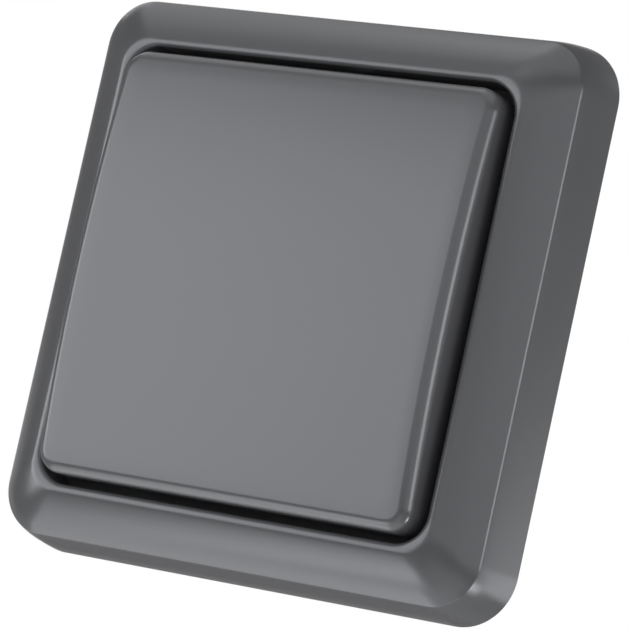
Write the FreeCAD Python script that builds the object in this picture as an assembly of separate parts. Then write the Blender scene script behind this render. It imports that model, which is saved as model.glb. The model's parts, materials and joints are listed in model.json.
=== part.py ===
import FreeCAD, Part
import math
import os

# Wireless remote wall switch: a square rocker in a square cover frame, on a wall plate that also holds
# a small battery-powered radio module. All sizes are in millimetres.
#
# The pieces are drawn lying on their backs: x to the right, y up the wall, z out of the wall, with the
# wall plane at z = 0. At the end each one is stood up, so that z points up and the front faces -y.

# Cover frame
frame_width = 80.0
frame_corner = 7.8
frame_wall = 1.8
crease_inset = 1.4
crease_rounding = 0.8
side_bulge_angle = 4.0
slope_width = 6.15
slope_rise = 4.1
slope_edge_angle = 47.0
lip_width = 1.05
lip_break = 0.25
lip_corner = 4.0
opening_corner = 4.5
collar_thickness = 1.6
collar_depth = 5.5
funnel_reach = 2.5
funnel_drop = 2.2
funnel_thickness = 0.8
roof_drop = 2.4

# Rocker
rocker_gap = 1.2
rocker_rise = 4.55
rocker_crown_radius = 253.0
rocker_edge_rounding = 1.55
rocker_wall = 1.8
rocker_skirt_depth = 3.3
rocker_tilt = 2.2
pivot_lift = 2.3
pivot_radius = 1.25
pivot_clearance = 0.05
pivot_length = 2.6
lug_thickness = 1.8
lug_side_gap = 0.3
lug_eye_wall = 1.2
lug_shoulder = 1.6
lug_slot_share = 0.8
pusher_length = 3.55
pusher_radius = 0.9
pusher_gap = 0.08
stop_arm = 20.0
stop_width = 6.0
stop_length = 2.0
stop_offset = 12.0
stop_gap = 0.1
rib_thickness = 1.2
rib_height = 0.9
rib_spacing = 13.0

# Wall plate
plate_thickness = 2.0
plate_clearance = 0.25
plate_rim_thickness = 1.2
plate_rim_height = 1.2
wall_screw_spacing = 60.0
wall_slot_width = 4.2
wall_slot_length = 7.0
tongue_offset = 18.0
tongue_width = 6.0
tongue_thickness = 1.2
tongue_rim_gap = 0.7
catch_width = 8.0
catch_height = 2.0
catch_reach = 0.3
catch_play = 0.05
barb_reach = 1.0
barb_height = 1.55
hook_offset = 12.0
hook_width = 6.0
hook_gap = 0.3
hook_play = 0.1
hook_barb_reach = 0.8
guide_offset = 15.0
guide_length = 8.0
guide_thickness = 1.2
guide_height = 1.8
guide_gap = 0.15

# Transmitter module
module_width = 42.0
module_end_gap = 3.7
module_step = 0.8
module_corner = 2.0
module_wall = 1.2
module_floor = 1.0
module_front_thickness = 1.1
board_thickness = 1.0
board_lift = 0.4
board_headroom = 2.2
board_edge_gap = 0.3
board_corner = 1.0
boss_inset_x = 4.4
boss_inset_y = 4.6
boss_radius = 2.4

# Module screws
screw_radius = 1.0
screw_clearance = 0.05
screw_pass_clearance = 0.2
screw_head_radius = 1.6
screw_head_height = 1.2
screw_head_clearance = 0.15
screw_head_sink = 0.15
screw_bite = 2.4
screw_recess_width = 0.5
screw_recess_depth = 0.6

# Coin cell and contacts
cell_radius = 10.0
cell_thickness = 3.2
cell_cap_radius = 8.8
cell_cap_height = 0.2
cell_clearance = 0.3
cell_headroom = 0.1
well_wall = 1.0
contact_thickness = 0.2
contact_width = 4.0
contact_gap = 0.05
contact_foot_length = 3.5
contact_slot_play = 0.5
finger_foot_reach = 7.0
finger_bend = 3.0
finger_touch = 3.5
finger_tip_reach = 5.0

# Key switches
key_arm = 8.0
key_width = 6.0
key_corner_cut = 0.6
key_base_height = 2.6
key_floor = 0.7
key_bore_radius = 2.35
key_cover_thickness = 0.3
key_cover_tab_width = 2.4
key_cover_tab_thickness = 0.2
key_cover_tab_drop = 1.2
key_window_gap = 0.4
dome_radius = 2.2
dome_height = 0.55
dome_thickness = 0.1
dome_gap = 0.02
plunger_radius = 1.75
plunger_clearance = 0.08
plunger_flange_radius = 2.2
plunger_flange_height = 0.8
plunger_reach = 1.7
terminal_width = 0.7
terminal_reach = 1.3
terminal_height = 0.3
terminal_spacing = 4.5

# Parts on the board
chip_width = 3.9
chip_length = 8.6
chip_height = 1.5
chip_x = 10.5
chip_lead_count = 7
chip_lead_pitch = 1.27
chip_lead_width = 0.42
chip_lead_reach = 1.05
chip_lead_height = 0.75
resonator_width = 5.0
resonator_length = 3.2
resonator_height = 1.1
resonator_corner = 0.6
resonator_y = 12.0
transistor_width = 1.3
transistor_length = 2.9
transistor_height = 1.0
passive_x = -9.5
transistor_y = 6.0
passive_length = 1.6
passive_width = 0.8
capacitor_height = 0.8
resistor_height = 0.45
passive_pitch = 2.6
capacitor_count = 4
capacitor_start = 2.5
resistor_count = 3
resistor_start = -8.5
antenna_inset = 4.0
antenna_span = 28.0
antenna_height = 1.3
antenna_radius = 0.4

# Sizes that follow from the ones above, across the switch
frame_half = frame_width / 2
corner_centre = frame_half - frame_corner
crease_half = frame_half - crease_inset
crease_corner = frame_corner - crease_inset
lip_half = crease_half - slope_width
opening_half = lip_half - lip_width
rocker_half = opening_half - rocker_gap
rocker_corner = opening_corner - rocker_gap
collar_half = opening_half + collar_thickness
collar_corner = opening_corner + collar_thickness
funnel_half = opening_half - funnel_reach
funnel_corner = opening_corner - funnel_reach
module_half_x = module_width / 2
module_half_y = rocker_half - module_end_gap - tongue_thickness - hook_gap
top_half_y = module_half_y - module_step
board_half_x = module_half_x - module_wall - board_edge_gap
board_half_y = top_half_y - module_wall - board_edge_gap
antenna_x = antenna_inset - board_half_x
boss_x = module_half_x - boss_inset_x
boss_y = module_half_y - boss_inset_y

# Heights above the wall, from the plate out to the rocker's crown and back down to the frame
plate_top = plate_thickness
rim_top = plate_top + plate_rim_height
cell_top = plate_top + cell_thickness
parting = cell_top + cell_headroom
board_bottom = parting + board_lift
board_top = board_bottom + board_thickness
front_inside = board_top + board_headroom
front_outside = front_inside + module_front_thickness
pivot_height = parting + pivot_lift
dome_floor = board_top + key_floor
dome_crown = dome_floor + dome_height
key_top = board_top + key_base_height
cover_top = key_top + key_cover_thickness
plunger_top = cover_top + plunger_reach
rocker_inside = plunger_top + pusher_length
rocker_crown_height = rocker_inside + rocker_wall
lip_height = rocker_crown_height - rocker_rise
crease_height = lip_height - slope_rise
side_draft = math.atan2(crease_inset, crease_height)
roof_low = lip_height - roof_drop
collar_foot = lip_height - collar_depth
funnel_low = collar_foot - funnel_drop
funnel_foot = funnel_low - funnel_thickness
rocker_skirt_height = lip_height - rocker_skirt_depth
tilt = math.radians(rocker_tilt)


def point(x, y, z):
    return FreeCAD.Vector(x, y, z)


def frame_inside(height):
    """Half width of the frame's inner side wall at a height above the wall."""
    return frame_half - frame_wall - height * math.tan(side_draft)


plate_half = frame_inside(rim_top) - plate_clearance
plate_corner = frame_corner - frame_wall - plate_clearance
rim_inside = plate_half - plate_rim_thickness
tongue_outside = rim_inside - tongue_rim_gap
catch_inside = rim_inside - catch_reach


def rounded_wire(half_x, half_y, corner, height):
    """Closed rectangle with round corners, centred on the z axis."""
    edges = []
    inner_x = half_x - corner
    inner_y = half_y - corner
    centres = [(inner_x, inner_y), (-inner_x, inner_y), (-inner_x, -inner_y), (inner_x, -inner_y)]
    for turn, (x, y) in enumerate(centres):
        start = math.radians(90 * turn)
        spots = []
        for share in (0.0, 0.5, 1.0):
            angle = start + share * math.pi / 2
            spots.append(point(x + corner * math.cos(angle), y + corner * math.sin(angle), height))
        if edges:
            edges.append(Part.LineSegment(edges[-1].valueAt(edges[-1].LastParameter), spots[0]).toShape())
        edges.append(Part.Arc(*spots).toShape())
    first = edges[0].valueAt(edges[0].FirstParameter)
    last = edges[-1].valueAt(edges[-1].LastParameter)
    edges.append(Part.LineSegment(last, first).toShape())
    return Part.Wire(edges)


def slab(half_x, half_y, corner, low, high):
    """Round-cornered block between two heights."""
    face = Part.Face(rounded_wire(half_x, half_y, corner, low))
    return face.extrude(point(0, 0, high - low))


def block(x_range, y_range, z_range):
    """Plain block between pairs of limits."""
    size = [high - low for low, high in (x_range, y_range, z_range)]
    return Part.makeBox(*size, point(x_range[0], y_range[0], z_range[0]))


def centred_block(x, y, width, length, low, high):
    return block((x - width / 2, x + width / 2), (y - length / 2, y + length / 2), (low, high))


def post(x, y, radius, low, high):
    return Part.makeCylinder(radius, high - low, point(x, y, low))


def profile_along_x(spots, start, width):
    """Solid with a (y, z) outline, drawn out along x."""
    corners = [point(start, y, z) for y, z in spots]
    face = Part.Face(Part.makePolygon(corners + corners[:1]))
    return face.extrude(point(width, 0, 0))


def join(shapes):
    """One solid from shapes that touch or overlap."""
    return shapes[0].fuse(shapes[1:]).removeSplitter()


def four_corners(x, y):
    return [(x, y), (-x, y), (-x, -y), (x, -y)]


# Cover frame

def arc_stations(start, direction, end, count):
    """Points on the arc that leaves start along a direction angle and ends at end, in section."""
    run = end[0] - start[0]
    rise = end[1] - start[1]
    chord = math.hypot(run, rise)
    swing = math.atan2(rise, run) - direction
    stations = []
    for step in range(count + 1):
        share = step / count
        reach = chord * math.sin(share * swing) / math.sin(swing)
        angle = direction + share * swing
        stations.append((start[0] + reach * math.cos(angle), start[1] + reach * math.sin(angle)))
    return stations


def slope_corner_at(half):
    """Corner radius of the slope where it is this wide."""
    share = (crease_half - half) / (crease_half - lip_half)
    return crease_corner + share * (lip_corner - crease_corner)


def frame_sections():
    """Arcs of the frame's outside from the wall to the lip, as start, direction there and end."""
    side_angle = math.pi / 2 + side_draft + math.radians(side_bulge_angle)
    slope_angle = math.pi - math.radians(slope_edge_angle)
    cut = crease_rounding * math.tan((slope_angle - side_angle) / 2)
    side_end = (crease_half - cut * math.cos(side_angle), crease_height - cut * math.sin(side_angle))
    slope_start = (crease_half + cut * math.cos(slope_angle), crease_height + cut * math.sin(slope_angle))
    side_chord = math.atan2(side_end[1], side_end[0] - frame_half)
    return {
        "side": ((frame_half, 0.0), 2 * side_chord - side_angle, side_end),
        "crease": (side_end, side_angle, slope_start),
        "slope": (slope_start, slope_angle, (lip_half, lip_height)),
    }


def section_points(spots):
    """Points of a section, in the plane where the frame's outline begins to turn."""
    return [point(half, corner_centre, height) for half, height in spots]


def section_arc(start, direction, end):
    return Part.Arc(*section_points(arc_stations(start, direction, end, 2))).toShape()


def section_lines(spots):
    return Part.makePolygon(section_points(spots)).Edges


def swept_round(edges):
    """Solid ring: a closed section drawn round the frame, with all its corners about one centre."""
    path = rounded_wire(frame_half, frame_half, frame_corner, 0.0)
    return path.makePipeShell([Part.Wire(edges)], True, False)


def core(half, high):
    """Block that fills the inside of a swept ring."""
    return slab(half, half, half - corner_centre, 0.0, high)


def frame_skin():
    """Solid bounded by the frame's outside and the wall plane."""
    sections = frame_sections()
    slope_start = sections["slope"][0]
    low = slope_start[1]
    sides = [section_arc(*sections["side"]), section_arc(*sections["crease"])]
    sides += section_lines([slope_start, (lip_half, low), (lip_half, 0.0), (frame_half, 0.0)])
    wires = []
    for half, height in arc_stations(*sections["slope"], 2):
        wires.append(rounded_wire(half, half, slope_corner_at(half), height))
    return swept_round(sides).fuse([core(lip_half, low), Part.makeLoft(wires, True)])


def frame_hollow():
    """Space behind the frame's face: a drafted box under a sloping roof."""
    eaves = crease_height - frame_wall
    foot = (collar_half, 0.0)
    spots = [foot, (frame_inside(0.0), 0.0), (frame_inside(eaves), eaves), (collar_half, roof_low), foot]
    return swept_round(section_lines(spots)).fuse(core(collar_half, roof_low))


def opening_cut():
    """The square opening, with its front edge broken."""
    cut = slab(opening_half, opening_half, opening_corner, 0.0, lip_height)
    wide = opening_half + lip_break
    wires = [
        rounded_wire(opening_half, opening_half, opening_corner, lip_height - lip_break),
        rounded_wire(wide, wide, opening_corner + lip_break, lip_height),
    ]
    return cut.fuse(Part.makeLoft(wires, True, True))


def collar():
    """Wall round the opening, with a funnel at its foot that closes the view past the rocker's edge."""
    ring = slab(collar_half, collar_half, collar_corner, funnel_foot, roof_low)
    wires = [
        rounded_wire(funnel_half, funnel_half, funnel_corner, funnel_low),
        rounded_wire(opening_half, opening_half, opening_corner, collar_foot),
    ]
    return ring.cut([
        slab(opening_half, opening_half, opening_corner, collar_foot, roof_low),
        Part.makeLoft(wires, True, True),
        slab(funnel_half, funnel_half, funnel_corner, funnel_foot, funnel_low),
    ])


def catch(side, x):
    """Ledge inside the frame, at the top or bottom, that a wall-plate tongue hooks over."""
    reach = sorted((side * catch_inside, side * (frame_inside(rim_top) + frame_wall / 2)))
    sides = (x - catch_width / 2, x + catch_width / 2)
    return block(sides, reach, (rim_top, rim_top + catch_height))


def cover_frame():
    frame = frame_skin().cut(frame_hollow())
    frame = frame.cut(opening_cut())
    catches = [catch(side, x) for side in (1, -1) for x in (tongue_offset, -tongue_offset)]
    return frame.fuse([collar()] + catches)


# Rocker

def crown(radius):
    """Long roller whose top is the rocker's crowned face."""
    start = point(-frame_half, 0, rocker_crown_height - rocker_crown_radius)
    return Part.makeCylinder(radius, frame_width, start, point(1, 0, 0))


def rocker_blank():
    """Outside of the rocker, with its front edges rounded."""
    blank = slab(rocker_half, rocker_half, rocker_corner, rocker_skirt_height, rocker_crown_height + 1)
    blank = blank.common(crown(rocker_crown_radius))
    upper = (rocker_skirt_height + rocker_crown_height) / 2
    front_edges = [edge for edge in blank.Edges if edge.BoundBox.ZMin > upper]
    return blank.makeFillet(rocker_edge_rounding, front_edges)


def rocker_hollow():
    inner = rocker_half - rocker_wall
    corner = rocker_corner - rocker_wall
    room = slab(inner, inner, corner, rocker_skirt_height, rocker_crown_height)
    return room.common(crown(rocker_crown_radius - rocker_wall))


def lug(side):
    """Bearing lug with an eye that snaps over a trunnion from the front."""
    near = module_half_x + lug_side_gap
    start = near if side > 0 else -near - lug_thickness
    eye = pivot_radius + pivot_clearance
    half = eye + lug_eye_wall
    top = rocker_inside + rocker_wall / 2
    foot = pivot_height - half
    shape = profile_along_x(
        [(-half, foot), (half, foot), (half, pivot_height), (half + lug_shoulder, top),
         (-half - lug_shoulder, top), (-half, pivot_height)],
        start,
        lug_thickness,
    )
    hole = Part.makeCylinder(eye, lug_thickness, point(start, 0, pivot_height), point(1, 0, 0))
    throat = eye * lug_slot_share
    mouth = profile_along_x(
        [(-eye, foot), (eye, foot), (throat, foot + lug_eye_wall / 2), (throat, pivot_height),
         (-throat, pivot_height), (-throat, foot + lug_eye_wall / 2)],
        start,
        lug_thickness,
    )
    return shape.cut(hole.fuse(mouth))


def pusher(side):
    """Peg that bears on a plunger."""
    return post(0, side * key_arm, pusher_radius, plunger_top + pusher_gap, rocker_inside + rocker_wall / 2)


def stop_pad(x, side):
    """Pad that meets the module's front when the rocker is fully pressed."""
    drop = (stop_arm + stop_length / 2) * math.sin(tilt)
    foot = front_outside + stop_gap + drop
    return centred_block(x, side * stop_arm, stop_width, stop_length, foot, rocker_crown_height)


def rocker_ribs():
    """Stiffening ribs under the face, along and across."""
    ribs = []
    inner = rocker_half - rocker_wall / 2
    low = rocker_inside - rib_height
    for offset in (-rib_spacing, rib_spacing):
        along = centred_block(offset, 0, rib_thickness, 2 * inner, low, rocker_crown_height)
        across = centred_block(0, offset, 2 * inner, rib_thickness, low, rocker_crown_height)
        ribs += [along, across]
    return ribs


def rocker():
    blank = rocker_blank()
    inside = [stop_pad(x, side) for x in (-stop_offset, stop_offset) for side in (1, -1)]
    inside += rocker_ribs()
    inside += [lug(1), lug(-1), pusher(1), pusher(-1)]
    shell = blank.cut(rocker_hollow())
    roof = crown(rocker_crown_radius - rocker_wall / 2)
    trimmed = [piece.common(roof) for piece in inside]
    return join([shell] + trimmed)


# Wall plate

def wall_slot(turn):
    """Slot for a wall screw, long towards the middle so that the plate can be set level."""
    half = wall_slot_width / 2
    straight = wall_slot_length / 2 - half
    centre = wall_screw_spacing / 2
    slot = block((centre - straight, centre + straight), (-half, half), (0, plate_top))
    slot = slot.fuse([post(centre - straight, 0, half, 0, plate_top),
                      post(centre + straight, 0, half, 0, plate_top)])
    slot.rotate(point(0, 0, 0), point(0, 0, 1), 90 * turn)
    return slot.removeSplitter()


def frame_tongue(x, side):
    """Snap tongue whose barb holds the frame's catch down on the plate's rim."""
    root = tongue_outside - tongue_thickness
    ledge = rim_top + catch_height + catch_play
    tip = tongue_outside + barb_reach
    outline = [
        (root, plate_top), (tongue_outside, plate_top), (tongue_outside, ledge), (tip, ledge),
        (tongue_outside, ledge + barb_height), (root, ledge + barb_height),
    ]
    return profile_along_x([(side * y, z) for y, z in outline], x - tongue_width / 2, tongue_width)


def module_hook(x, side):
    """Snap hook that holds the module's rear shell down on the plate."""
    inside = module_half_y + hook_gap
    outside = inside + tongue_thickness
    ledge = parting + hook_play
    tip = inside - hook_barb_reach
    outline = [
        (inside, plate_top), (outside, plate_top), (outside, ledge + barb_height),
        (inside, ledge + barb_height), (tip, ledge),
        (inside, ledge),
    ]
    return profile_along_x([(side * y, z) for y, z in outline], x - hook_width / 2, hook_width)


def module_guide(x_side, y_side):
    """Low rib beside the module that keeps it from sliding sideways."""
    x = x_side * (module_half_x + guide_gap + guide_thickness / 2)
    y = y_side * guide_offset
    return centred_block(x, y, guide_thickness, guide_length, plate_top, plate_top + guide_height)


def wall_plate():
    base = slab(plate_half, plate_half, plate_corner, 0.0, rim_top)
    pan = slab(rim_inside, rim_inside, plate_corner - plate_rim_thickness, plate_top, rim_top)
    plate = base.cut(pan)
    plate = plate.fuse([frame_tongue(x, side) for x in (-tongue_offset, tongue_offset) for side in (1, -1)])
    plate = plate.fuse([module_hook(x, side) for x in (-hook_offset, hook_offset) for side in (1, -1)])
    plate = plate.fuse([module_guide(x_side, y_side) for x_side, y_side in four_corners(1, 1)])
    for turn in range(4):
        plate = plate.cut(wall_slot(turn))
    return plate


# Transmitter module

def boss_spots():
    """The two opposite corners where the module is screwed together."""
    return [(boss_x, boss_y), (-boss_x, -boss_y)]


def module_base():
    """Rear shell: a tray with a round well for the cell and a boss at each screw."""
    tray = slab(module_half_x, module_half_y, module_corner, plate_top, parting)
    inner_x = module_half_x - module_wall
    inner_y = module_half_y - module_wall
    floor_top = plate_top + module_floor
    room = slab(inner_x, inner_y, module_corner - module_wall, floor_top, parting)
    well = cell_radius + cell_clearance
    ring = post(0, 0, well + well_wall, plate_top, parting)
    bosses = [post(x, y, boss_radius, plate_top, board_bottom) for x, y in boss_spots()]
    shell = join([tray.cut(room), ring] + bosses)
    shell = shell.cut(post(0, 0, well, plate_top, parting))
    seat = plate_top + screw_head_sink + screw_head_height
    for x, y in boss_spots():
        head_room = post(x, y, screw_head_radius + screw_head_clearance, plate_top, seat)
        pass_hole = post(x, y, screw_radius + screw_pass_clearance, plate_top, board_bottom)
        shell = shell.cut(head_room.fuse(pass_hole))
    slot_half = contact_width / 2 + contact_slot_play
    slot = block((0, well + 2 * well_wall), (-slot_half, slot_half), (floor_top, parting))
    return shell.cut(slot)


def trunnion(side):
    """Pin on the module's flank that the rocker turns on."""
    root = point(side * (module_half_x - module_wall / 2), 0, pivot_height)
    return Part.makeCylinder(pivot_radius, module_wall / 2 + pivot_length, root, point(side, 0, 0))


def key_window(side):
    width = key_width + 2 * key_window_gap
    return centred_block(0, side * key_arm, width, width, front_inside, front_outside)


def module_top():
    """Front shell, which carries the trunnions and lets the key switches through."""
    outer = slab(module_half_x, top_half_y, module_corner, parting, front_outside)
    inner_x = module_half_x - module_wall
    inner_y = top_half_y - module_wall
    room = slab(inner_x, inner_y, module_corner - module_wall, parting, front_inside)
    bosses = [post(x, y, boss_radius, board_top, front_inside) for x, y in boss_spots()]
    shell = outer.cut(room)
    shell = join([shell] + [boss.common(outer) for boss in bosses] + [trunnion(1), trunnion(-1)])
    for x, y in boss_spots():
        shell = shell.cut(post(x, y, screw_radius + screw_clearance, board_top, board_top + screw_bite))
    return shell.cut(key_window(1).fuse(key_window(-1)))


def module_screw(x, y):
    """Pan-head screw with a cross recess, driven from behind."""
    seat = plate_top + screw_head_sink + screw_head_height
    head = post(x, y, screw_head_radius, plate_top + screw_head_sink, seat)
    shank = post(x, y, screw_radius, seat, board_top + screw_bite - screw_clearance)
    recess_top = plate_top + screw_head_sink + screw_recess_depth
    long_side = 2 * screw_radius
    cross = centred_block(x, y, long_side, screw_recess_width, plate_top, recess_top)
    cross = cross.fuse(centred_block(x, y, screw_recess_width, long_side, plate_top, recess_top))
    return head.fuse(shank).cut(cross)


def module_screws():
    return Part.makeCompound([module_screw(x, y) for x, y in boss_spots()])


def circuit_board():
    board = slab(board_half_x, board_half_y, board_corner, board_bottom, board_top)
    for x, y in boss_spots():
        board = board.cut(post(x, y, screw_radius + screw_pass_clearance, board_bottom, board_top))
    return board


# Coin cell and contacts

def coin_cell():
    """Sealed cell with its rim to the wall plate and its smaller cap to the board."""
    can = post(0, 0, cell_radius, plate_top, cell_top - cell_cap_height)
    cap = post(0, 0, cell_cap_radius, cell_top - cell_cap_height, cell_top)
    return can.fuse(cap)


def positive_contact():
    """Leaf that stands beside the cell's rim, with a foot on the board."""
    inside = cell_radius + contact_gap
    half = contact_width / 2
    leaf = block(
        (inside, inside + contact_thickness),
        (-half, half),
        (plate_top + module_floor + contact_gap, board_bottom),
    )
    foot = block(
        (inside, inside + contact_foot_length),
        (-half, half),
        (board_bottom - contact_thickness, board_bottom),
    )
    return join([leaf, foot])


def negative_contact():
    """Spring finger with a foot on the board, pressing on the cell's cap."""
    high = board_bottom - contact_thickness
    low = cell_top + contact_gap
    tip = (high + low) / 2
    under = [(-finger_foot_reach, high), (-finger_bend, high), (finger_touch, low), (finger_tip_reach, tip)]
    over = [(y, z + contact_thickness) for y, z in reversed(under)]
    return profile_along_x(under + over, -contact_width / 2, contact_width)


# Key switches under the rocker

def key_base(side):
    """Moulded base with a round bore for the dome and plunger."""
    y = side * key_arm
    base = centred_block(0, y, key_width, key_width, board_top, key_top)
    upright = [edge for edge in base.Edges if edge.BoundBox.ZLength > key_base_height / 2]
    base = base.makeChamfer(key_corner_cut, upright)
    return base.cut(post(0, y, key_bore_radius, board_top + key_floor, key_top))


def key_cover(side):
    """Steel cover with a hole for the plunger and two tabs folded down the sides."""
    y = side * key_arm
    plate = centred_block(0, y, key_width, key_width, key_top, cover_top)
    upright = [edge for edge in plate.Edges if edge.BoundBox.ZLength > key_cover_thickness / 2]
    plate = plate.makeChamfer(key_corner_cut, upright)
    tabs = []
    for way in (1, -1):
        edge = y + way * (key_width + key_cover_tab_thickness) / 2
        tabs.append(centred_block(0, edge, key_cover_tab_width, key_cover_tab_thickness,
                                  key_top - key_cover_tab_drop, cover_top))
    cover = join([plate] + tabs)
    return cover.cut(post(0, y, plunger_radius + plunger_clearance, key_top, cover_top))


def key_dome(side):
    """Thin snap dome, its rim on the bore's floor."""
    rim = dome_radius * (1 - dome_thickness / dome_height)
    under = dome_crown - dome_thickness
    spots = [(dome_radius, dome_floor), (0.0, dome_crown), (0.0, under), (rim, dome_floor)]
    corners = [point(radius, side * key_arm, height) for radius, height in spots]
    face = Part.Face(Part.makePolygon(corners + corners[:1]))
    return face.revolve(point(0, side * key_arm, 0), point(0, 0, 1), 360)


def plunger(side):
    """Round plunger with a flange that the cover holds in."""
    y = side * key_arm
    foot = dome_crown + dome_gap
    flange = post(0, y, plunger_flange_radius, foot, foot + plunger_flange_height)
    return join([flange, post(0, y, plunger_radius, foot, plunger_top)])


def key_terminals(side):
    """Four flat legs from the base to the board."""
    legs = []
    for way in (1, -1):
        near = way * key_width / 2
        reach = sorted((near, near + way * terminal_reach))
        for place in (1, -1):
            y = side * key_arm + place * terminal_spacing / 2
            legs.append(block(reach, (y - terminal_width / 2, y + terminal_width / 2),
                              (board_top, board_top + terminal_height)))
    return Part.makeCompound(legs)


# Parts on the board

def controller_chip():
    """Small-outline chip with two rows of leads."""
    body = centred_block(chip_x, 0, chip_width, chip_length, board_top, board_top + chip_height)
    leads = []
    for way in (1, -1):
        x = chip_x + way * (chip_width + chip_lead_reach) / 2
        for index in range(chip_lead_count):
            y = (index - (chip_lead_count - 1) / 2) * chip_lead_pitch
            leads.append(centred_block(x, y, chip_lead_reach, chip_lead_width,
                                       board_top, board_top + chip_lead_height))
    return join([body] + leads)


def resonator_can():
    can = slab(resonator_width / 2, resonator_length / 2, resonator_corner, board_top,
               board_top + resonator_height)
    can.translate(point(chip_x, resonator_y, 0))
    return can


def output_transistor():
    return centred_block(passive_x, transistor_y, transistor_width, transistor_length, board_top,
                         board_top + transistor_height)


def passives(start, count, height):
    """Row of equal chips along the board."""
    chips = []
    for index in range(count):
        y = start - index * passive_pitch
        top = board_top + height
        chips.append(centred_block(passive_x, y, passive_length, passive_width, board_top, top))
    return Part.makeCompound(chips)


def antenna_loop():
    """Wire staple that stands on the board: two legs and a long run."""
    half = antenna_span / 2
    top = board_top + antenna_height
    spots = [(-half, board_top), (-half, top), (half, top), (half, board_top)]
    path = Part.makePolygon([point(antenna_x, y, z) for y, z in spots])
    ring = Part.Wire(Part.makeCircle(antenna_radius, point(antenna_x, -half, board_top), point(0, 0, 1)))
    return path.makePipeShell([ring], True, True, 1)


nodes = {
    "wall_plate": wall_plate(),
    "cover_frame": cover_frame(),
    "rocker": rocker(),
    "module_base": module_base(),
    "module_top": module_top(),
    "module_screws": module_screws(),
    "circuit_board": circuit_board(),
    "coin_cell": coin_cell(),
    "positive_contact": positive_contact(),
    "negative_contact": negative_contact(),
    "controller_chip": controller_chip(),
    "resonator_can": resonator_can(),
    "output_transistor": output_transistor(),
    "chip_capacitors": passives(capacitor_start, capacitor_count, capacitor_height),
    "chip_resistors": passives(resistor_start, resistor_count, resistor_height),
    "antenna_loop": antenna_loop(),
}
for place, side in (("upper", 1), ("lower", -1)):
    nodes[place + "_key_base"] = key_base(side)
    nodes[place + "_key_cover"] = key_cover(side)
    nodes[place + "_key_dome"] = key_dome(side)
    nodes[place + "_key_terminals"] = key_terminals(side)
    nodes[place + "_plunger"] = plunger(side)

os.makedirs("parts", exist_ok=True)
for name, shape in nodes.items():
    shape.rotate(point(0, 0, 0), point(1, 0, 0), 90)
    shape.exportStep("parts/" + name + ".step")
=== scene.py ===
import json
import math

import bmesh
import bpy
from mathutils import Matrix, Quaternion, Vector


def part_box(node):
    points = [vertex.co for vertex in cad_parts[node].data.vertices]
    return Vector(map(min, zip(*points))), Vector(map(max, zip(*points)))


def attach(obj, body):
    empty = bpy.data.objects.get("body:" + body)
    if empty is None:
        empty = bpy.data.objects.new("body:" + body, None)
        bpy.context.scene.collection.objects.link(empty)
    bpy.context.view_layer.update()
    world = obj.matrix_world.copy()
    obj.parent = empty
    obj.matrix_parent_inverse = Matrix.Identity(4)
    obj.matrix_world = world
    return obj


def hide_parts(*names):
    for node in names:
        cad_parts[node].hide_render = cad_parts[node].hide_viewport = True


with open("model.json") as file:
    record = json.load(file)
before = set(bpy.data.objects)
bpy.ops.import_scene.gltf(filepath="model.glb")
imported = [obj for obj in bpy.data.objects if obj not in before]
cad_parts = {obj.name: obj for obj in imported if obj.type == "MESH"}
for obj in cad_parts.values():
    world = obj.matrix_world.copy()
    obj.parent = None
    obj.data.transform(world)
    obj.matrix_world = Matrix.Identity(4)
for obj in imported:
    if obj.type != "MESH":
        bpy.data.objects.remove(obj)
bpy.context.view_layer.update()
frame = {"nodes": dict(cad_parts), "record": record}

# Wireless remote wall switch: the visible cover frame and rocker are modelled here in full smoothness,
# and every other piece keeps its solid and gets a finish. Sizes are in metres, most written as millimetres.

mm = 0.001

# Sizes taken from the frame's own solids
cover_low, cover_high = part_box("cover_frame")
rocker_low, rocker_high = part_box("rocker")
frame_half = cover_high[0]
lip_height = -cover_low[1]
rocker_half = rocker_high[0]
crown_height = -rocker_low[1]

# Cover frame
frame_corner = 7.8 * mm
frame_wall = 1.8 * mm
crease_inset = 1.4 * mm
crease_rounding = 0.8 * mm
corner_ease = 0.35 * mm
ease_reach = 2.0 * mm
side_bulge = math.radians(4.0)
slope_width = 6.15 * mm
slope_rise = 4.1 * mm
slope_tilt = math.radians(47.0)
lip_width = 1.05 * mm
lip_blend = 1.8 * mm
lip_fall = 0.55 * mm
lip_corner = 4.0 * mm
opening_corner = 4.5 * mm
collar_thickness = 1.6 * mm
collar_depth = 5.5 * mm
funnel_reach = 2.5 * mm
funnel_drop = 2.2 * mm
funnel_thickness = 0.8 * mm
roof_drop = 2.4 * mm
catch_size = (8.0 * mm, 2.0 * mm, 2.0 * mm)
catch_spread = (18.0 * mm, 36.85 * mm)
catch_height = 4.2 * mm

# Rocker
crown_radius = 253.0 * mm
rocker_corner = 3.3 * mm
rocker_rounding = 1.55 * mm
rocker_wall = 1.8 * mm
skirt_height = 8.8 * mm
pivot_height = 7.6 * mm
eye_radius = 1.3 * mm
eye_wall = 1.2 * mm
lug_near = 21.3 * mm
lug_thickness = 1.8 * mm
lug_shoulder = 1.6 * mm
throat_share = 0.8
pusher_radius = 0.9 * mm
pusher_reach = 8.0 * mm
pusher_foot = 11.38 * mm
pad_size = (6.0 * mm, 2.0 * mm)
pad_spread = (12.0 * mm, 20.0 * mm)
pad_foot = 10.91 * mm
rib_thickness = 1.2 * mm
rib_height = 0.9 * mm
rib_spread = 13.0 * mm

# Fineness of the smooth pieces
corner_steps = 24
side_steps = 16
side_guard = 0.4 * mm
outer_side_steps = 8
crease_steps = 8
slope_steps = 20
blend_steps = 5
lip_steps = 8
face_rings = 14
edge_steps = 10
eye_steps = 20
pusher_sides = 32
merge_distance = 0.002 * mm
crisp_angle = math.radians(28.0)

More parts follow.
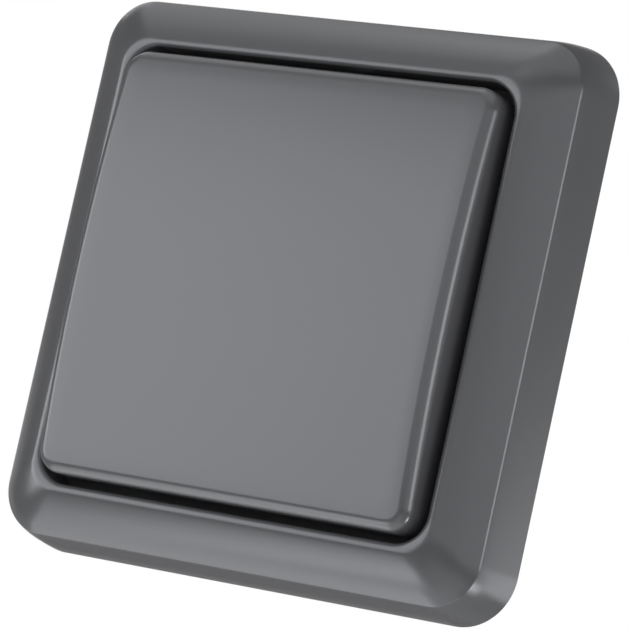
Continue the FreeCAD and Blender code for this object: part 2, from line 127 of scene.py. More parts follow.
# Finish of the two visible pieces
cover_colour = (0.088, 0.089, 0.094)
cover_sheen = (0.93, 0.95, 1.0)
cover_roughness = 0.26
cover_specular = 0.9
cover_bump = 0.05

# Finishes of all plastics and metals
plastic_grain = 4000.0
board_grain = 1500.0
grain_detail = 2.0
cloud_scale = 60.0
cloud_detail = 3.0
plastic_tone_change = 0.12
plastic_gloss_change = 0.06
plastic_bump = 0.15
plastic_relief = 0.02 * mm
line_scale = 3000.0
line_stretch = (0.06, 1.0, 1.0)
line_detail = 2.0
metal_tone_change = 0.2
metal_gloss_change = 0.2
metal_bump = 0.1
metal_relief = 0.01 * mm

# Camera
camera_place = Vector((303.57, -477.02, -65.44)) * mm
camera_aim = Vector((0.11, 0.0, -1.40)) * mm
camera_roll = math.radians(12.4)
camera_lens = 235.56
camera_sensor = 36.0
camera_near = 0.01

# Floor, and the share of its white that reflections show
floor_drop = 1.05
floor_reach = 4.0
floor_tone = 0.6
floor_roughness = 0.8
floor_glow = 0.8
floor_mirrored = 0.05

# Surroundings, and the cosines from the line of sight between which reflections turn from grey to white
surround_tone = 0.15
white_starts = 0.9
white_full = 0.99

# Sizes that follow
corner_centre = frame_half - frame_corner
crease_half = frame_half - crease_inset
lip_half = crease_half - slope_width
crease_height = lip_height - slope_rise
side_draft = math.atan2(crease_inset, crease_height)
opening_half = lip_half - lip_width
inside_height = crown_height - rocker_wall

# What a station of a section stores: its half width, corner radius, height and share of the crown
station_values = ("half", "corner", "height", "crowned")


# Small helpers for node trees

def new_tree(name, kind, inputs, outputs):
    """Node group whose sockets are given by name and type."""
    tree = bpy.data.node_groups.new(name, kind)
    for direction, sockets in (("INPUT", inputs), ("OUTPUT", outputs)):
        for label, socket_type in sockets.items():
            tree.interface.new_socket(label, in_out=direction, socket_type="NodeSocket" + socket_type)
    return tree


def link(tree, source, target):
    """Join one node's output to another's input."""
    tree.links.new(source, target)


def feed(tree, value, socket):
    """Give a socket either a plain value or another node's output."""
    if isinstance(value, bpy.types.NodeSocket):
        link(tree, value, socket)
    else:
        socket.default_value = value


def calc(tree, operation, *values, kind="ShaderNodeMath"):
    """Result of a math node, with its inputs filled in order."""
    node = tree.nodes.new(kind)
    node.operation = operation
    for value, socket in zip(values, node.inputs):
        feed(tree, value, socket)
    return [output for output in node.outputs if output.enabled][0]


def flat_grid(tree, width, height, columns, rows_up):
    """Grid mesh of a size, with so many points each way."""
    grid = tree.nodes.new("GeometryNodeMeshGrid")
    sizes = {"Size X": width, "Size Y": height, "Vertices X": columns, "Vertices Y": rows_up}
    for label, value in sizes.items():
        link(tree, value, grid.inputs[label])
    return grid.outputs["Mesh"]


def own_place(tree):
    """Coordinates of each point."""
    spot = tree.nodes.new("ShaderNodeSeparateXYZ")
    link(tree, tree.nodes.new("GeometryNodeInputPosition").outputs["Position"], spot.inputs["Vector"])
    return spot.outputs


def moved_to(tree, geometry, x, y, z):
    """Geometry with every point moved to new coordinates."""
    place = tree.nodes.new("ShaderNodeCombineXYZ")
    for value, label in ((x, "X"), (y, "Y"), (z, "Z")):
        link(tree, value, place.inputs[label])
    moved = tree.nodes.new("GeometryNodeSetPosition")
    link(tree, geometry, moved.inputs["Geometry"])
    link(tree, place.outputs["Vector"], moved.inputs["Position"])
    return moved.outputs["Geometry"]


def close_tree(tree, geometry, material, label):
    """Closing nodes of every geometry tree: real geometry, then its material."""
    real = tree.nodes.new("GeometryNodeRealizeInstances")
    link(tree, geometry, real.inputs["Geometry"])
    painted = tree.nodes.new("GeometryNodeSetMaterial")
    link(tree, real.outputs["Geometry"], painted.inputs["Geometry"])
    link(tree, material, painted.inputs["Material"])
    link(tree, painted.outputs["Geometry"], tree.nodes.new("NodeGroupOutput").inputs[label])


# Stacked outlines: the rule that both moulded covers follow

def sampled(tree, section, label, station):
    """Value that the section stores at a station."""
    named = tree.nodes.new("GeometryNodeInputNamedAttribute")
    named.data_type = "FLOAT"
    named.inputs["Name"].default_value = label
    pick = tree.nodes.new("GeometryNodeSampleIndex")
    pick.data_type = "FLOAT"
    pick.domain = "POINT"
    link(tree, section, pick.inputs["Geometry"])
    link(tree, named.outputs["Attribute"], pick.inputs["Value"])
    link(tree, station, pick.inputs["Index"])
    return pick.outputs["Value"]


def side_reach(tree, given, straight, step, side_spans):
    """How far a step lies along the straight side that follows its corner; nothing on the corner itself."""
    steps = given["Corner Steps"]
    length = calc(tree, "MULTIPLY", straight, 2.0)
    guard = calc(tree, "MINIMUM", given["Side Guard"], calc(tree, "MULTIPLY", straight, 0.1))
    past_corner = calc(tree, "SUBTRACT", calc(tree, "SUBTRACT", step, steps), 1.0)
    span = calc(tree, "DIVIDE", past_corner, side_spans)
    along = calc(tree, "MAXIMUM", calc(tree, "MULTIPLY", length, span), guard)
    along = calc(tree, "MINIMUM", along, calc(tree, "SUBTRACT", length, guard))
    on_side = calc(tree, "GREATER_THAN", step, calc(tree, "ADD", steps, 0.5))
    return calc(tree, "MULTIPLY", along, on_side)


def outline_spot(tree, given, half, corner, quarter, step, side_spans):
    """Sideways and upward place of a step along one quarter of a round-cornered square."""
    share = calc(tree, "MINIMUM", calc(tree, "DIVIDE", step, given["Corner Steps"]), 1.0)
    angle = calc(tree, "MULTIPLY", calc(tree, "ADD", quarter, share), math.pi / 2)
    diagonal = calc(tree, "MULTIPLY", calc(tree, "ADD", quarter, 0.5), math.pi / 2)
    straight = calc(tree, "SUBTRACT", half, corner)
    along = side_reach(tree, given, straight, step, side_spans)
    cosine = calc(tree, "COSINE", angle)
    sine = calc(tree, "SINE", angle)
    centre_x = calc(tree, "MULTIPLY", straight, calc(tree, "SIGN", calc(tree, "COSINE", diagonal)))
    centre_z = calc(tree, "MULTIPLY", straight, calc(tree, "SIGN", calc(tree, "SINE", diagonal)))
    x = calc(tree, "MULTIPLY_ADD", corner, cosine, centre_x)
    x = calc(tree, "SUBTRACT", x, calc(tree, "MULTIPLY", along, sine))
    z = calc(tree, "MULTIPLY_ADD", corner, sine, centre_z)
    z = calc(tree, "MULTIPLY_ADD", along, cosine, z)
    return x, z


def stacked_outlines():
    """Skin through round-cornered squares, one for each station of a section, standing on the wall."""
    inputs = {
        "Section": "Geometry",
        "Corner Steps": "Int",
        "Side Steps": "Int",
        "Side Guard": "Float",
        "Crown Radius": "Float",
        "Merge Distance": "Float",
        "Material": "Material",
    }
    tree = new_tree("stacked_outlines", "GeometryNodeTree", inputs, {"Skin": "Geometry"})
    given = tree.nodes.new("NodeGroupInput").outputs
    section = given["Section"]

    # A flat grid has a column for each point of an outline and a row for each station.
    counted = tree.nodes.new("GeometryNodeAttributeDomainSize")
    link(tree, section, counted.inputs["Geometry"])
    stations = counted.outputs["Point Count"]
    last_station = calc(tree, "SUBTRACT", stations, 1.0)
    side_spans = calc(tree, "ADD", given["Side Steps"], 1.0)
    per_corner = calc(tree, "ADD", calc(tree, "ADD", given["Corner Steps"], side_spans), 2.0)
    around = calc(tree, "MULTIPLY", per_corner, 4.0)
    grid = flat_grid(tree, around, last_station, calc(tree, "ADD", around, 1.0), stations)

    # Each grid point finds its column and station, and what the section stores there.
    spot = own_place(tree)
    column = calc(tree, "ROUND", calc(tree, "MULTIPLY_ADD", around, 0.5, spot["X"]))
    station = calc(tree, "ROUND", calc(tree, "MULTIPLY_ADD", last_station, 0.5, spot["Y"]))
    half, corner, height, crowned = [sampled(tree, section, label, station) for label in station_values]
    quarter = calc(tree, "FLOOR", calc(tree, "DIVIDE", calc(tree, "ADD", column, 0.5), per_corner))
    step = calc(tree, "SUBTRACT", column, calc(tree, "MULTIPLY", quarter, per_corner))
    x, z = outline_spot(tree, given, half, corner, quarter, step, side_spans)

    # The crown falls away above and below the middle.
    radius = given["Crown Radius"]
    flat = calc(tree, "SUBTRACT", calc(tree, "MULTIPLY", radius, radius), calc(tree, "MULTIPLY", z, z))
    drop = calc(tree, "SUBTRACT", radius, calc(tree, "SQRT", flat))
    y = calc(tree, "SUBTRACT", calc(tree, "MULTIPLY", crowned, drop), height)

    closed = tree.nodes.new("GeometryNodeMergeByDistance")
    link(tree, moved_to(tree, grid, x, y, z), closed.inputs["Geometry"])
    link(tree, given["Merge Distance"], closed.inputs["Distance"])
    close_tree(tree, closed.outputs["Geometry"], given["Material"], "Skin")
    return tree


# Blocks in rows: ribs, pads and catches

def blocks_in_rows():
    """Equal blocks on a grid of rows and columns that lies parallel to the wall."""
    inputs = {
        "Geometry": "Geometry",
        "Columns": "Int",
        "Rows": "Int",
        "Spread X": "Float",
        "Spread Z": "Float",
        "Size": "Vector",
        "Height": "Float",
        "Material": "Material",
    }
    tree = new_tree("blocks_in_rows", "GeometryNodeTree", inputs, {"Blocks": "Geometry"})
    given = tree.nodes.new("NodeGroupInput").outputs
    width = calc(tree, "MULTIPLY", given["Spread X"], 2.0)
    height = calc(tree, "MULTIPLY", given["Spread Z"], 2.0)
    grid = flat_grid(tree, width, height, given["Columns"], given["Rows"])
    spot = own_place(tree)
    y = calc(tree, "MULTIPLY", given["Height"], -1.0)
    points = moved_to(tree, grid, spot["X"], y, spot["Y"])
    block = tree.nodes.new("GeometryNodeMeshCube")
    link(tree, given["Size"], block.inputs["Size"])
    copies = tree.nodes.new("GeometryNodeInstanceOnPoints")
    link(tree, points, copies.inputs["Points"])
    link(tree, block.outputs["Mesh"], copies.inputs["Instance"])
    close_tree(tree, copies.outputs["Instances"], given["Material"], "Blocks")
    return tree


# Meshes grown by the trees

def grown_mesh(name, start, tree, values):
    """Plain mesh that a node tree grows from a start mesh, with its named inputs set."""
    seed = bpy.data.objects.new(name + "_seed", start)
    bpy.context.scene.collection.objects.link(seed)
    modifier = seed.modifiers.new("grow", "NODES")
    modifier.node_group = tree
    for item in tree.interface.items_tree:
        if item.in_out == "INPUT" and item.name in values:
            modifier[item.identifier] = values[item.name]
    evaluated = seed.evaluated_get(bpy.context.evaluated_depsgraph_get())
    mesh = bpy.data.meshes.new_from_object(evaluated)
    seed.modifiers.clear()
    bpy.data.objects.remove(seed)
    mesh.name = name
    return mesh


def section_mesh(name, stations):
    """Stations of a section as points that carry their values."""
    mesh = bpy.data.meshes.new(name)
    mesh.from_pydata([(station[0], 0, station[2]) for station in stations], [], [])
    for index, label in enumerate(station_values):
        layer = mesh.attributes.new(label, "FLOAT", "POINT")
        layer.data.foreach_set("value", [station[index] for station in stations])
    return mesh


def skin(name, stations, tree, material):
    """Mesh of the skin through a section's stations."""
    values = {
        "Corner Steps": corner_steps,
        "Side Steps": side_steps,
        "Side Guard": side_guard,
        "Crown Radius": crown_radius,
        "Merge Distance": merge_distance,
        "Material": material,
    }
    return grown_mesh(name, section_mesh(name + "_section", stations), tree, values)


def rows(name, tree, material, columns, count, spread, size, low, high):
    """Blocks between two heights above the wall, spread evenly either side of the middle."""
    values = {
        "Columns": columns,
        "Rows": count,
        "Spread X": spread[0],
        "Spread Z": spread[1],
        "Size": (size[0], high - low, size[1]),
        "Height": (low + high) / 2,
        "Material": material,
    }
    return grown_mesh(name, bpy.data.meshes.new(name + "_start"), tree, values)


# Sections

def stepped(point, angle, length):
    """Section point at a length from another, along an angle."""
    return (point[0] + length * math.cos(angle), point[1] + length * math.sin(angle))


def arc(start, direction, end, count):
    """Section points on the arc that leaves start along a direction angle and ends at end."""
    chord = math.hypot(end[0] - start[0], end[1] - start[1])
    swing = math.atan2(end[1] - start[1], end[0] - start[0]) - direction
    points = []
    for step in range(count + 1):
        share = step / count
        reach = chord * math.sin(share * swing) / math.sin(swing)
        points.append(stepped(start, direction + share * swing, reach))
    return points


def flat_station(half, corner, height):
    """Station that the crown leaves flat."""
    return (half, corner, height, 0.0)


def frame_inside(height):
    """Half width of the frame's inner side wall at a height above the wall."""
    return frame_half - frame_wall - height * math.tan(side_draft)


def eased(height):
    """Extra corner radius near the crease, which softens it where it turns a corner."""
    share = min(1.0, abs(height - crease_height) / ease_reach)
    return corner_ease * (1 + math.cos(math.pi * share)) / 2


def lip_stations(start):
    """Stations of the lip, which falls ever more steeply from its start to the wall of the opening."""
    stations = []
    for step in range(1, lip_steps + 1):
        turn = step / lip_steps * math.pi / 2
        half = opening_half + (start - opening_half) * (1 - math.sin(turn))
        height = lip_height - lip_fall * (1 - math.cos(turn))
        stations.append(flat_station(half, opening_corner + half - opening_half, height))
    return stations


def frame_outside():
    """Stations from the wall up the bowed side, round the crease, up the slope and over the lip."""
    crease = (crease_half, crease_height)
    side_angle = math.pi / 2 + side_draft + side_bulge
    slope_angle = math.pi - slope_tilt
    cut = crease_rounding * math.tan((slope_angle - side_angle) / 2)
    side_end = stepped(crease, side_angle, -cut)
    slope_start = stepped(crease, slope_angle, cut)
    side_chord = math.atan2(side_end[1], side_end[0] - frame_half)
    slope_chord = math.atan2(lip_height - slope_start[1], lip_half - slope_start[0])
    slope_end_angle = 2 * slope_chord - slope_angle
    lip_cut = lip_blend * math.tan((math.pi - slope_end_angle) / 2)
    slope_end = stepped((lip_half, lip_height), slope_end_angle, -lip_cut)
    lip_start = (lip_half - lip_cut, lip_height)

    outer = arc((frame_half, 0.0), 2 * side_chord - side_angle, side_end, outer_side_steps)
    outer += arc(side_end, side_angle, slope_start, crease_steps)[1:]
    stations = [flat_station(half, half - corner_centre + eased(height), height) for half, height in outer]
    edge_corner = slope_start[0] - corner_centre
    climb = arc(slope_start, slope_angle, slope_end, slope_steps)[1:]
    climb += arc(slope_end, slope_end_angle, lip_start, blend_steps)[1:]
    for half, height in climb:
        share = (slope_start[0] - half) / (slope_start[0] - lip_half)
        corner = edge_corner + share * (lip_corner - edge_corner)
        stations.append(flat_station(half, corner + eased(height), height))
    return stations + lip_stations(lip_start[0])


def frame_behind():
    """Stations down the wall of the opening and back behind the face to the wall."""
    collar_half = opening_half + collar_thickness
    collar_corner = opening_corner + collar_thickness
    collar_foot = lip_height - collar_depth
    funnel_half = opening_half - funnel_reach
    funnel_corner = opening_corner - funnel_reach
    funnel_low = collar_foot - funnel_drop
    funnel_foot = funnel_low - funnel_thickness
    eaves = crease_height - frame_wall
    eaves_half = frame_inside(eaves)
    base_half = frame_inside(0.0)
    return [
        flat_station(opening_half, opening_corner, collar_foot),
        flat_station(funnel_half, funnel_corner, funnel_low),
        flat_station(funnel_half, funnel_corner, funnel_foot),
        flat_station(collar_half, collar_corner, funnel_foot),
        flat_station(collar_half, collar_corner, lip_height - roof_drop),
        flat_station(eaves_half, eaves_half - corner_centre, eaves),
        flat_station(base_half, base_half - corner_centre, 0.0),
        flat_station(frame_half, frame_corner, 0.0),
    ]


def crowned_rings(half, corner, height):
    """Stations of a crowned face, from its middle out to its rim."""
    shares = [ring / face_rings for ring in range(face_rings + 1)]
    return [(half * share, corner * share, height, 1.0) for share in shares]


def rocker_section():
    """Stations from the middle of the crowned face round the edge and skirt to the middle of its inside."""
    stations = crowned_rings(rocker_half - rocker_rounding, rocker_corner - rocker_rounding, crown_height)
    for step in range(1, edge_steps + 1):
        turn = step / edge_steps * math.pi / 2
        inset = rocker_rounding * (1 - math.sin(turn))
        drop = rocker_rounding * (1 - math.cos(turn))
        stations.append((rocker_half - inset, rocker_corner - inset, crown_height - drop, 1.0))
    inner_half = rocker_half - rocker_wall
    inner_corner = rocker_corner - rocker_wall
    stations.append((rocker_half, rocker_corner, crown_height - rocker_rounding - side_guard, 1.0))
    stations.append(flat_station(rocker_half, rocker_corner, skirt_height))
    stations.append(flat_station(inner_half, inner_corner, skirt_height))
    return stations + crowned_rings(inner_half, inner_corner, inside_height)[::-1]


# Pieces

def plain_mesh(name, shape):
    """Mesh of an edited shape, which is then let go."""
    mesh = bpy.data.meshes.new(name)
    shape.to_mesh(mesh)
    shape.free()
    return mesh


def drawn_out(name, outline, start, depth):
    """Plate with an outline of (up, out) points, drawn out along x."""
    shape = bmesh.new()
    corners = [shape.verts.new((start, -out, up)) for up, out in outline]
    face = shape.faces.new(corners)
    grown = bmesh.ops.extrude_face_region(shape, geom=[face])
    moved = [item for item in grown["geom"] if isinstance(item, bmesh.types.BMVert)]
    bmesh.ops.translate(shape, verts=moved, vec=(depth, 0, 0))
    return plain_mesh(name, shape)


def lug(side):
    """Bearing lug with an open eye that snaps over a trunnion."""
    half = eye_radius + eye_wall
    foot = pivot_height - half
    lead_in = foot + eye_wall / 2
    top = inside_height + rocker_wall / 2
    throat = eye_radius * throat_share
    dip = math.acos(throat_share)
    outline = [(-half, foot), (-eye_radius, foot), (-throat, lead_in)]
    for step in range(eye_steps + 1):
        turn = math.pi + dip - step / eye_steps * (math.pi + 2 * dip)
        outline.append((eye_radius * math.cos(turn), pivot_height + eye_radius * math.sin(turn)))
    outline += [(throat, lead_in), (eye_radius, foot), (half, foot), (half, pivot_height)]
    outline += [(half + lug_shoulder, top), (-half - lug_shoulder, top), (-half, pivot_height)]
    start = lug_near if side > 0 else -lug_near - lug_thickness
    return drawn_out("lug", outline, start, lug_thickness)


def pusher(side):
    """Round peg that bears on a plunger."""
    shape = bmesh.new()
    high = inside_height + rocker_wall / 2
    bmesh.ops.create_cone(shape, cap_ends=True, segments=pusher_sides, radius1=pusher_radius,
                          radius2=pusher_radius, depth=high - pusher_foot)
    bmesh.ops.rotate(shape, verts=shape.verts, matrix=Quaternion((1, 0, 0), math.pi / 2).to_matrix())
    bmesh.ops.translate(shape, verts=shape.verts, vec=(0, -(high + pusher_foot) / 2, side * pusher_reach))
    return plain_mesh("pusher", shape)


def joined(name, meshes, material):
    """One object from several meshes, with faces outward and only crisp edges left sharp."""
    shape = bmesh.new()
    for mesh in meshes:
        shape.from_mesh(mesh)
        bpy.data.meshes.remove(mesh)
    bmesh.ops.recalc_face_normals(shape, faces=shape.faces)
    for face in shape.faces:
        face.smooth = True
        face.material_index = 0
    mesh = plain_mesh(name, shape)
    mesh.set_sharp_from_angle(angle=crisp_angle)
    mesh.materials.append(material)
    piece = bpy.data.objects.new(name, mesh)
    bpy.context.scene.collection.objects.link(piece)
    return piece


def smooth_cover_frame(outlines, blocks, material):
    """Bezel with its collar and its four catches."""
    low = catch_height - catch_size[2] / 2
    high = catch_height + catch_size[2] / 2
    parts = [
        skin("frame_skin", frame_outside() + frame_behind(), outlines, material),
        rows("catches", blocks, material, 2, 2, catch_spread, catch_size, low, high),
    ]
    return joined("smooth_cover_frame", parts, material)


def smooth_rocker(outlines, blocks, material):
    """Crowned paddle with its ribs, stop pads, lugs and pushers."""
    reach = 2 * (rocker_half - rocker_wall / 2)
    along = (rib_thickness, reach)
    across = (reach, rib_thickness)
    rib_low = inside_height - rib_height
    roof = inside_height + rocker_wall / 4
    # Ribs that run up and down stay lower, since the crowned face falls away towards their ends.
    low_roof = inside_height - rib_height / 4
    parts = [
        skin("rocker_skin", rocker_section(), outlines, material),
        rows("ribs_along", blocks, material, 2, 1, (rib_spread, 0), along, rib_low, low_roof),
        rows("ribs_across", blocks, material, 1, 2, (0, rib_spread), across, rib_low, roof),
        rows("stop_pads", blocks, material, 2, 2, pad_spread, pad_size, pad_foot, inside_height),
    ]
    parts += [lug(side) for side in (1, -1)]
    parts += [pusher(side) for side in (1, -1)]
    return joined("smooth_rocker", parts, material)


# Finishes

def opaque(colour):
    """Colour with full cover."""
    return (*colour, 1.0)


def grey(tone):
    """Neutral colour of a tone from black to white."""
    return opaque((tone, tone, tone))


def mixed(tree, first, second, share, blend="MIX"):
    """Result of a colour mix node."""
    node = tree.nodes.new("ShaderNodeMix")
    node.data_type = "RGBA"
    node.blend_type = blend
    feed(tree, share, node.inputs["Factor"])
    feed(tree, first, node.inputs["A"])
    feed(tree, second, node.inputs["B"])
    return node.outputs["Result"]


def noise(tree, where, scale, detail):
    """Cloudy pattern about a half."""
    node = tree.nodes.new("ShaderNodeTexNoise")
    link(tree, where, node.inputs["Vector"])
    feed(tree, scale, node.inputs["Scale"])
    node.inputs["Detail"].default_value = detail
    return node.outputs["Fac"]


def finish_group(name, scales):
    """Node group of a finish, with the sockets that every finish has and the scales of its own patterns."""
    inputs = {
        "Place": "Vector",
        "Colour": "Color",
        "Tone Change": "Float",
        "Roughness": "Float",
        "Roughness Change": "Float",
    }
    inputs.update({label: "Float" for label in scales})
    outputs = {"Colour": "Color", "Roughness": "Float", "Height": "Float"}
    return new_tree(name, "ShaderNodeTree", inputs, outputs)


def vary_finish(tree, given, pattern, height):
    """Closing nodes of a finish group: tone and roughness swing with a pattern about its middle."""
    swing = calc(tree, "SUBTRACT", pattern, 0.5)
    tone = calc(tree, "MULTIPLY_ADD", swing, given["Tone Change"], 1.0)
    shade = tree.nodes.new("ShaderNodeCombineColor")
    for channel in shade.inputs:
        link(tree, tone, channel)
    colour = mixed(tree, given["Colour"], shade.outputs["Color"], 1.0, "MULTIPLY")
    gloss = calc(tree, "MULTIPLY_ADD", swing, given["Roughness Change"], given["Roughness"])
    result = tree.nodes.new("NodeGroupOutput").inputs
    for value, label in ((colour, "Colour"), (gloss, "Roughness"), (height, "Height")):
        link(tree, value, result[label])


def moulded_grain():
    """Fine texture of moulded plastic: a little change of tone and gloss, and a height for bump."""
    tree = finish_group("moulded_grain", ("Grain Scale", "Cloud Scale"))
    given = tree.nodes.new("NodeGroupInput").outputs
    grain = noise(tree, given["Place"], given["Grain Scale"], grain_detail)
    cloud = noise(tree, given["Place"], given["Cloud Scale"], cloud_detail)
    pattern = calc(tree, "MULTIPLY_ADD", cloud, 0.5, calc(tree, "MULTIPLY", grain, 0.5))
    vary_finish(tree, given, pattern, grain)
    return tree


def drawn_metal():
    """Fine lines of rolled or drawn metal along one axis, which change its tone, gloss and height."""
    tree = finish_group("drawn_metal", ("Line Scale",))
    given = tree.nodes.new("NodeGroupInput").outputs
    stretch = tree.nodes.new("ShaderNodeMapping")
    stretch.inputs["Scale"].default_value = line_stretch
    link(tree, given["Place"], stretch.inputs["Vector"])
    lines = noise(tree, stretch.outputs["Vector"], given["Line Scale"], line_detail)
    vary_finish(tree, given, lines, lines)
    return tree


def finished(name, group, values, bump, relief, metallic=0.0, specular=0.5, sheen=(1.0, 1.0, 1.0)):
    """Material whose colour, gloss and relief come from a finish group with its own values."""
    material = bpy.data.materials.new(name)
    material.use_nodes = True
    tree = material.node_tree
    shader = tree.nodes["Principled BSDF"]
    shader.inputs["Metallic"].default_value = metallic
    shader.inputs["Specular IOR Level"].default_value = specular
    shader.inputs["Specular Tint"].default_value = opaque(sheen)
    where = tree.nodes.new("ShaderNodeTexCoord")
    effect = tree.nodes.new("ShaderNodeGroup")
    effect.node_tree = group
    link(tree, where.outputs["Object"], effect.inputs["Place"])
    for label, value in values.items():
        effect.inputs[label].default_value = value
    ripple = tree.nodes.new("ShaderNodeBump")
    ripple.inputs["Strength"].default_value = bump
    ripple.inputs["Distance"].default_value = relief
    link(tree, effect.outputs["Height"], ripple.inputs["Height"])
    link(tree, effect.outputs["Colour"], shader.inputs["Base Color"])
    link(tree, effect.outputs["Roughness"], shader.inputs["Roughness"])
    link(tree, ripple.outputs["Normal"], shader.inputs["Normal"])
    return material


def plastic(name, grain, colour, roughness, grain_scale=plastic_grain, bump=plastic_bump, **surface):
    """Moulded plastic or ceramic with a fine grain."""
    values = {
        "Colour": opaque(colour),
        "Tone Change": plastic_tone_change,
        "Roughness": roughness,
        "Roughness Change": plastic_gloss_change,
        "Grain Scale": grain_scale,
        "Cloud Scale": cloud_scale,
    }
    return finished(name, grain, values, bump, plastic_relief, **surface)


def metal(name, lines, colour, roughness):
    """Bare or plated metal with fine lines."""
    values = {
        "Colour": opaque(colour),
        "Tone Change": metal_tone_change,
        "Roughness": roughness,
        "Roughness Change": metal_gloss_change,
        "Line Scale": line_scale,
    }
    return finished(name, lines, values, metal_bump, metal_relief, metallic=1.0)


def cover_finish(grain):
    """Satin anthracite of the two visible pieces."""
    return plastic("anthracite_satin", grain, cover_colour, cover_roughness, bump=cover_bump,
                   specular=cover_specular, sheen=cover_sheen)


def switch_finishes():
    """All finishes by the record's material slots, most with a colour and a roughness of their own."""
    grain = moulded_grain()
    lines = drawn_metal()
    return {
        "cover_plastic": cover_finish(grain),
        "base_plastic": plastic("dark_grey_moulding", grain, (0.1, 0.1, 0.105), 0.5),
        "board_laminate": plastic("green_solder_mask", grain, (0.02, 0.11, 0.05), 0.3, board_grain),
        "cell_steel": metal("plated_cell_steel", lines, (0.75, 0.75, 0.74), 0.28),
        "contact_metal": metal("spring_strip", lines, (0.8, 0.74, 0.6), 0.3),
        "key_steel": metal("stamped_sheet", lines, (0.72, 0.72, 0.72), 0.32),
        "key_plastic": plastic("black_key_moulding", grain, (0.03, 0.03, 0.03), 0.45),
        "plunger_plastic": plastic("black_plunger_moulding", grain, (0.06, 0.06, 0.065), 0.4),
        "screw_steel": metal("zinc_plate", lines, (0.6, 0.6, 0.62), 0.35),
        "chip_resin": plastic("chip_resin", grain, (0.025, 0.025, 0.027), 0.55),
        "ceramic": plastic("sintered_ceramic", grain, (0.45, 0.35, 0.25), 0.4),
        "wire_copper": metal("tinned_wire", lines, (0.75, 0.72, 0.65), 0.3),
    }


# Stage

def aimed(thing, place, aim, roll):
    """Stand a lamp or camera at a place, looking at an aim point and rolled about its line of sight."""
    direction = aim - place
    turn = direction.to_track_quat("-Z", "Y") @ Quaternion((0, 0, 1), roll)
    thing.location = place
    thing.rotation_euler = turn.to_euler()
    bpy.context.scene.collection.objects.link(thing)


def add_camera():
    """Camera that stands where the photo was taken from."""
    data = bpy.data.cameras.new("photo_camera")
    data.lens = camera_lens
    data.sensor_width = camera_sensor
    data.clip_start = camera_near
    camera = bpy.data.objects.new("photo_camera", data)
    aimed(camera, camera_place, camera_aim, camera_roll)
    bpy.context.scene.camera = camera


def softbox(name, turn, rise, distance, size, glow, roll=0.0):
    """Soft lamp that looks at the switch; its turn to the right, rise and roll are in degrees."""
    width, height = size
    data = bpy.data.lights.new(name, "AREA")
    data.shape = "RECTANGLE"
    data.size = width
    data.size_y = height
    # This power gives the lamp's face the brightness of its glow.
    data.energy = math.pi * width * height * glow
    turn = math.radians(turn)
    rise = math.radians(rise)
    place = Vector((math.sin(turn) * math.cos(rise), -math.cos(turn) * math.cos(rise), math.sin(rise)))
    lamp = bpy.data.objects.new(name, data)
    lamp.visible_camera = False
    aimed(lamp, place * distance, Vector((0, 0, 0)), math.radians(roll))


def shown_white(tree, mirrored):
    """Share of white that a ray meets: all of it to the eye and through glass, a part in reflections."""
    rays = tree.nodes.new("ShaderNodeLightPath").outputs
    direct = calc(tree, "MAXIMUM", rays["Is Camera Ray"], rays["Is Transmission Ray"])
    return calc(tree, "MULTIPLY_ADD", rays["Is Glossy Ray"], mirrored, direct)


def floor_finish():
    """Pale floor that also glows white to the eye."""
    material = bpy.data.materials.new("pale_floor")
    material.use_nodes = True
    tree = material.node_tree
    shader = tree.nodes["Principled BSDF"]
    shader.inputs["Base Color"].default_value = grey(floor_tone)
    shader.inputs["Roughness"].default_value = floor_roughness
    shader.inputs["Emission Color"].default_value = grey(1.0)
    glow = calc(tree, "MULTIPLY", shown_white(tree, floor_mirrored), floor_glow)
    link(tree, glow, shader.inputs["Emission Strength"])
    return material


def add_floor():
    """Plain pale floor well below the switch, as it hangs on its wall."""
    mesh = bpy.data.meshes.new("floor")
    around = ((-1, -1), (1, -1), (1, 1), (-1, 1))
    corners = [(x * floor_reach, y * floor_reach, -floor_drop) for x, y in around]
    mesh.from_pydata(corners, [], [(0, 1, 2, 3)])
    mesh.materials.append(floor_finish())
    floor = bpy.data.objects.new("floor", mesh)
    bpy.context.scene.collection.objects.link(floor)


def add_world():
    """White surroundings to the eye, and behind the switch in reflections; a dim grey for its own light."""
    world = bpy.data.worlds.new("studio")
    bpy.context.scene.world = world
    world.use_nodes = True
    tree = world.node_tree
    background = tree.nodes["Background"]
    where = tree.nodes.new("ShaderNodeTexCoord").outputs["Generated"]
    sight = (camera_aim - camera_place).normalized()
    backward = calc(tree, "DOT_PRODUCT", where, sight, kind="ShaderNodeVectorMath")
    behind = tree.nodes.new("ShaderNodeMapRange")
    behind.interpolation_type = "SMOOTHSTEP"
    link(tree, backward, behind.inputs["Value"])
    behind.inputs["From Min"].default_value = white_starts
    behind.inputs["From Max"].default_value = white_full
    white = shown_white(tree, behind.outputs["Result"])
    link(tree, mixed(tree, grey(surround_tone), grey(1.0), white), background.inputs["Color"])
    background.inputs["Strength"].default_value = 1.0


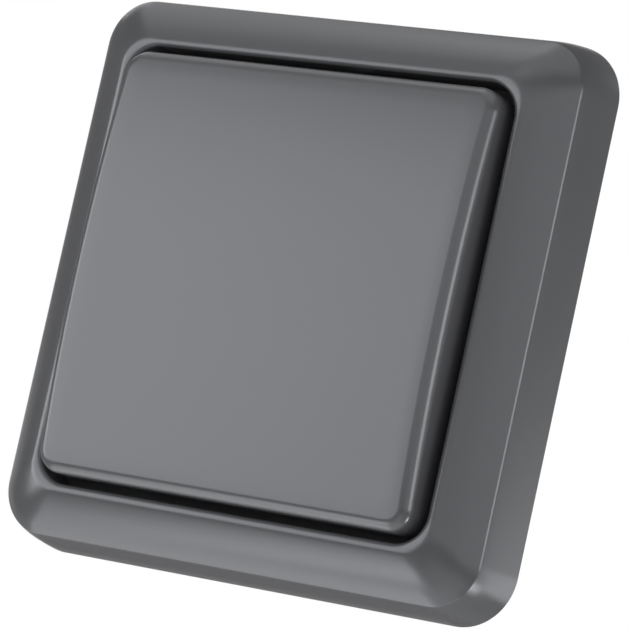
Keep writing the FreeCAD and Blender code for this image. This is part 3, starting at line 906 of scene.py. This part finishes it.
def add_lamps():
    """Studio light all round: a large key lamp to the left, and lamps that the edges and slopes mirror."""
    softbox("key", turn=-40, rise=2, distance=1.6, size=(0.9, 1.05), glow=2.35)
    softbox("key_left", turn=-59, rise=-3, distance=1.6, size=(0.45, 1.0), glow=2.9)
    softbox("key_low", turn=-48, rise=-53, distance=1.3, size=(0.85, 0.4), glow=2.4, roll=43)
    softbox("key_high", turn=-35, rise=35, distance=1.6, size=(1.0, 0.8), glow=0.4)
    softbox("front", turn=10, rise=10, distance=1.6, size=(1.5, 1.0), glow=0.6)
    softbox("right", turn=52, rise=5, distance=1.5, size=(0.9, 1.0), glow=0.7)
    softbox("strip_right", turn=91, rise=5, distance=1.4, size=(0.85, 0.6), glow=3.4)
    softbox("low_right", turn=113, rise=-36, distance=1.2, size=(0.3, 0.3), glow=9.0)
    softbox("low_front", turn=25, rise=-40, distance=1.4, size=(1.1, 0.7), glow=0.4)
    softbox("low_left", turn=-92, rise=-60, distance=1.0, size=(0.55, 0.55), glow=1.4)
    softbox("below", turn=-10, rise=-80, distance=0.95, size=(1.0, 1.0), glow=0.5)
    softbox("above", turn=20, rise=74, distance=1.4, size=(1.7, 1.7), glow=0.65)
    softbox("high_left", turn=-85, rise=60, distance=1.4, size=(0.9, 0.9), glow=0.68)
    softbox("high_behind", turn=-125, rise=35, distance=1.4, size=(0.55, 0.6), glow=1.5)
    softbox("behind_right", turn=134, rise=-13, distance=1.2, size=(0.6, 0.66), glow=2.0)
    softbox("behind_left", turn=-118, rise=-19, distance=1.4, size=(0.9, 1.2), glow=0.3)
    softbox("back", turn=175, rise=15, distance=1.6, size=(1.0, 1.0), glow=2.0)


# The switch

def dress_nodes(finishes):
    """Give every solid the finish of its slot."""
    slots = {piece["node"]: piece["material_slot"] for piece in frame["record"]["subparts"]}
    for node, solid in frame["nodes"].items():
        solid.data.materials.clear()
        solid.data.materials.append(finishes[slots[node]])


def build_switch():
    """Dress the solids, and put smooth pieces in place of the two that show."""
    finishes = switch_finishes()
    dress_nodes(finishes)
    outlines = stacked_outlines()
    blocks = blocks_in_rows()
    cover = smooth_cover_frame(outlines, blocks, finishes["cover_plastic"])
    rocker = smooth_rocker(outlines, blocks, finishes["cover_plastic"])
    for piece, node, body in ((cover, "cover_frame", "switch_body"), (rocker, "rocker", "rocker")):
        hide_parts(node)
        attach(piece, body)


build_switch()
add_camera()
add_floor()
add_world()
add_lamps()
bpy.context.scene.view_settings.view_transform = "Standard"
